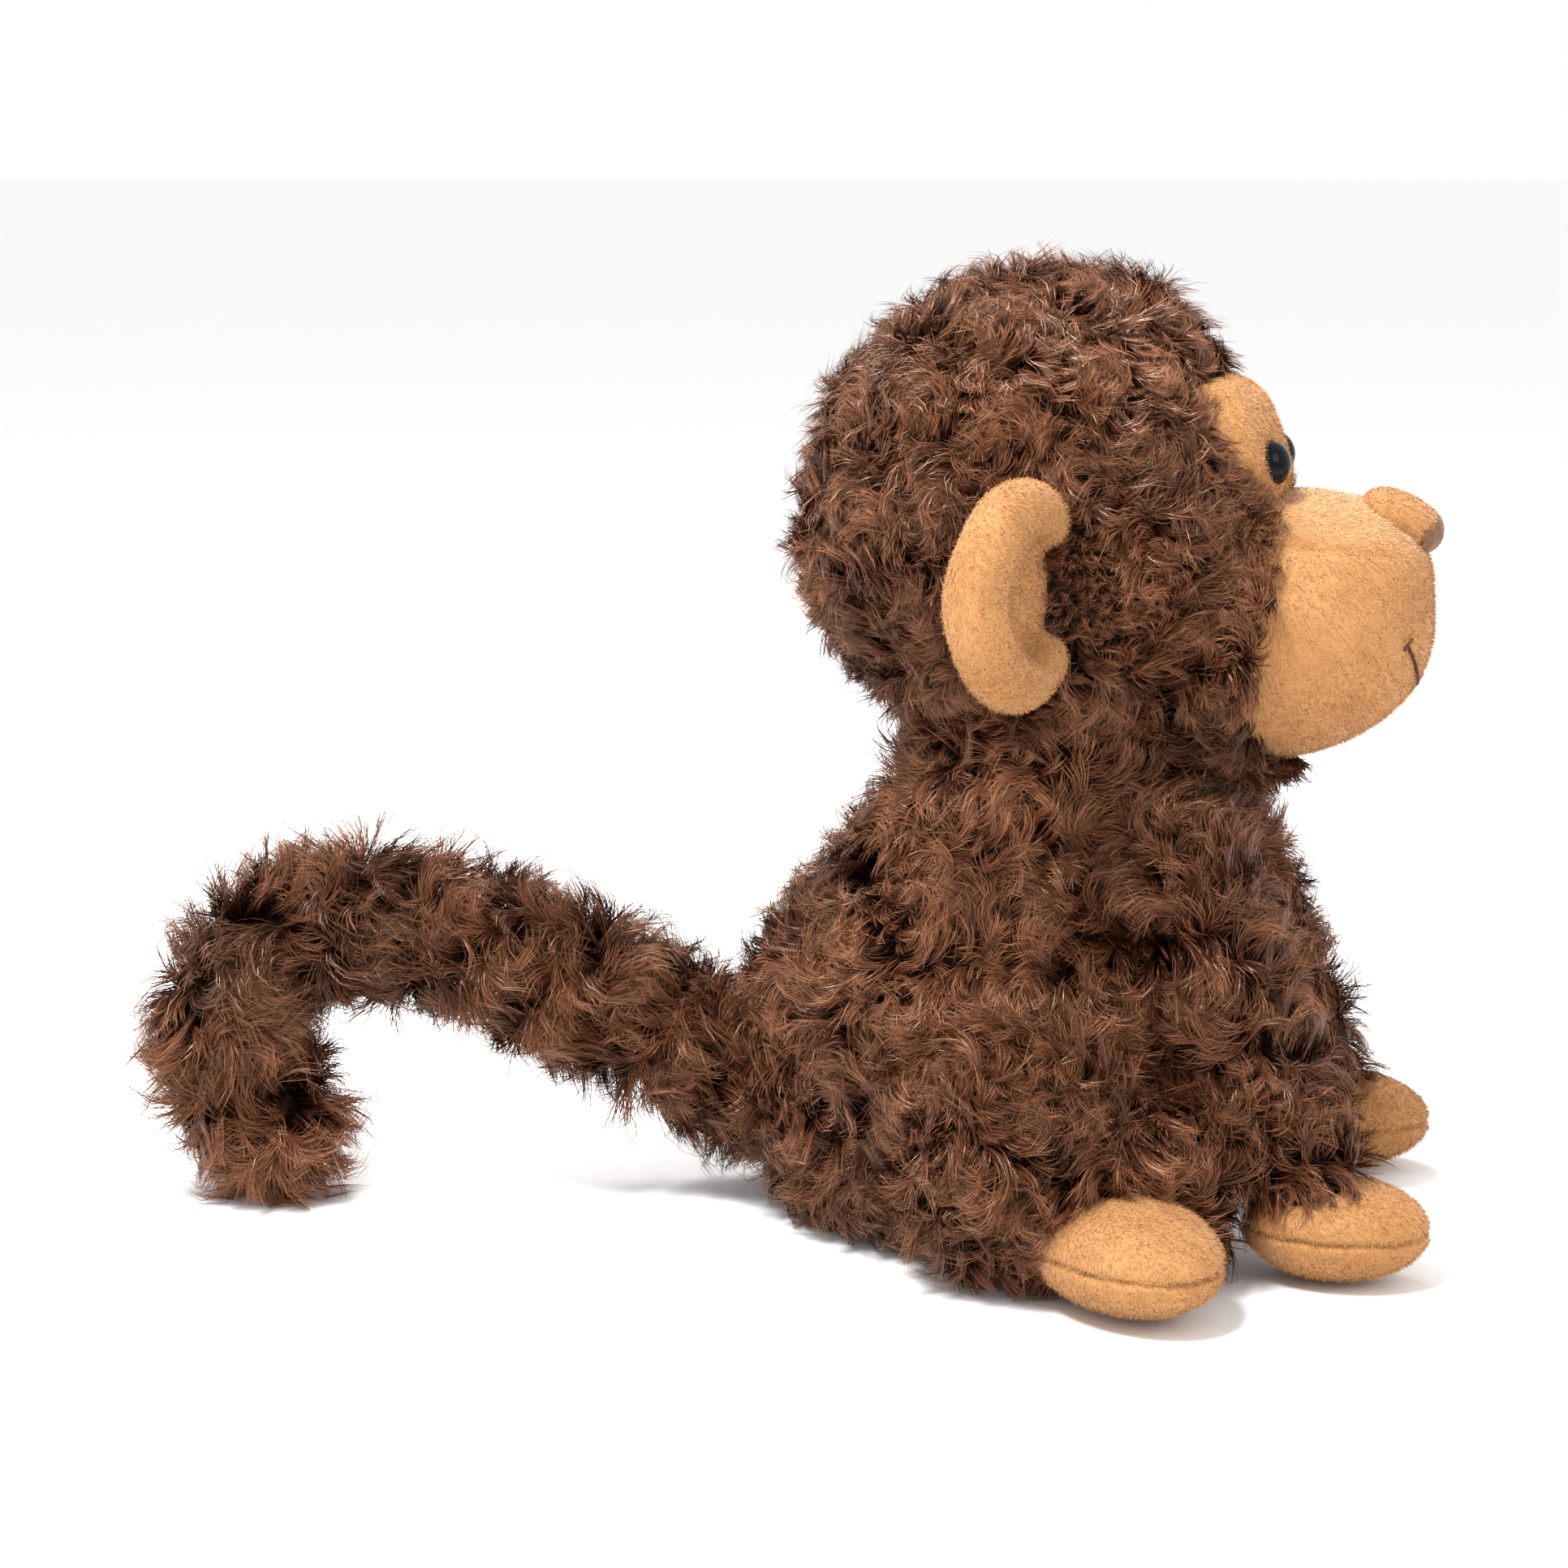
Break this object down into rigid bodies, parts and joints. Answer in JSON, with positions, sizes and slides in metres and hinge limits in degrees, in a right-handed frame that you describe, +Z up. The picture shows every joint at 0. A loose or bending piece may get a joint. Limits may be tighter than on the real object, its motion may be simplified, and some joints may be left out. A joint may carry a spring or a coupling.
{
  "type": "stuffed monkey",
  "caption": "Sitting stuffed monkey in curly brown fur cloth with a tan face, cupped ears, hands and feet, and a long tail that arches back and hooks down.",
  "frame": {"origin": "on the flat of the seat, under the neck's plane of left and right", "axes": "+X the way the face looks, +Y the monkey's left, +Z up"},
  "size_m": [0.3721, 0.2506, 0.273],
  "materials": {
    "fur_cloth": "long curly pile",
    "tan_cloth": "short plush pile",
    "filling": "loose polyester fibre",
    "pellets": "woven bag of plastic pellets",
    "thread": "twisted sewing thread",
    "eye_plastic": "polished black dome",
    "washer_plastic": "plain moulded"
  },
  "bodies": {
    "body": {"body_skin": "fur_cloth", "body_stuffing": "filling", "seat_pellet_bag": "pellets"},
    "neck": {"neck_seam": "thread"},
    "head": {"head_skin": "fur_cloth", "head_stuffing": "filling", "face_panel": "tan_cloth", "muzzle_skin": "tan_cloth", "muzzle_stuffing": "filling", "nose": "tan_cloth", "mouth_thread": "thread", "right_eye": "eye_plastic", "left_eye": "eye_plastic", "right_eye_washer": "washer_plastic", "left_eye_washer": "washer_plastic"},
    "tail": {"tail_skin": "fur_cloth", "tail_stuffing": "filling"},
    "right_arm": {"right_arm_skin": "fur_cloth", "right_arm_stuffing": "filling", "right_hand_back": "tan_cloth", "right_palm": "tan_cloth", "right_hand_stuffing": "filling"},
    "right_leg": {"right_leg_skin": "fur_cloth", "right_leg_stuffing": "filling", "right_foot_top": "tan_cloth", "right_foot_sole": "tan_cloth", "right_foot_stuffing": "filling"},
    "right_ear": {"right_ear_skin": "tan_cloth", "right_ear_padding": "filling"},
    "left_arm": {"left_arm_skin": "fur_cloth", "left_arm_stuffing": "filling", "left_hand_back": "tan_cloth", "left_palm": "tan_cloth", "left_hand_stuffing": "filling"},
    "left_leg": {"left_leg_skin": "fur_cloth", "left_leg_stuffing": "filling", "left_foot_top": "tan_cloth", "left_foot_sole": "tan_cloth", "left_foot_stuffing": "filling"},
    "left_ear": {"left_ear_skin": "tan_cloth", "left_ear_padding": "filling"}
  },
  "joints": [
    {"name": "neck_nod", "type": "hinge", "parent": "body", "child": "neck", "pos_m": [0.01, 0, 0.134], "axis": [0, 1, 0], "range_deg": [-12, 15]},
    {"name": "neck_turn", "type": "hinge", "parent": "neck", "child": "head", "pos_m": [0.01, 0, 0.134], "axis": [0, 0, 1], "range_deg": [-30, 30]},
    {"name": "tail_swing", "type": "hinge", "parent": "body", "child": "tail", "pos_m": [-0.082, 0, 0.037], "axis": [0, 0, 1], "range_deg": [-45, 20]},
    {"name": "right_shoulder", "type": "hinge", "parent": "body", "child": "right_arm", "pos_m": [0.047, -0.045, 0.112], "axis": [-0.5, -0.866, 0], "range_deg": [0, 55]},
    {"name": "right_hip", "type": "hinge", "parent": "body", "child": "right_leg", "pos_m": [0.008, -0.07, 0.038], "axis": [0, -1, 0], "range_deg": [-25, 45]},
    {"name": "right_ear_fold", "type": "hinge", "parent": "head", "child": "right_ear", "pos_m": [0.01, -0.0705, 0.194], "axis": [0, 0, 1], "range_deg": [-10, 25], "stiffness_Nm_per_rad": 0.02},
    {"name": "left_shoulder", "type": "hinge", "parent": "body", "child": "left_arm", "pos_m": [0.047, 0.045, 0.112], "axis": [0.5, -0.866, 0], "range_deg": [0, 55]},
    {"name": "left_hip", "type": "hinge", "parent": "body", "child": "left_leg", "pos_m": [0.008, 0.07, 0.038], "axis": [0, -1, 0], "range_deg": [-25, 45]},
    {"name": "left_ear_fold", "type": "hinge", "parent": "head", "child": "left_ear", "pos_m": [0.01, 0.0705, 0.194], "axis": [0, 0, -1], "range_deg": [-10, 25], "stiffness_Nm_per_rad": 0.02}
  ]
}
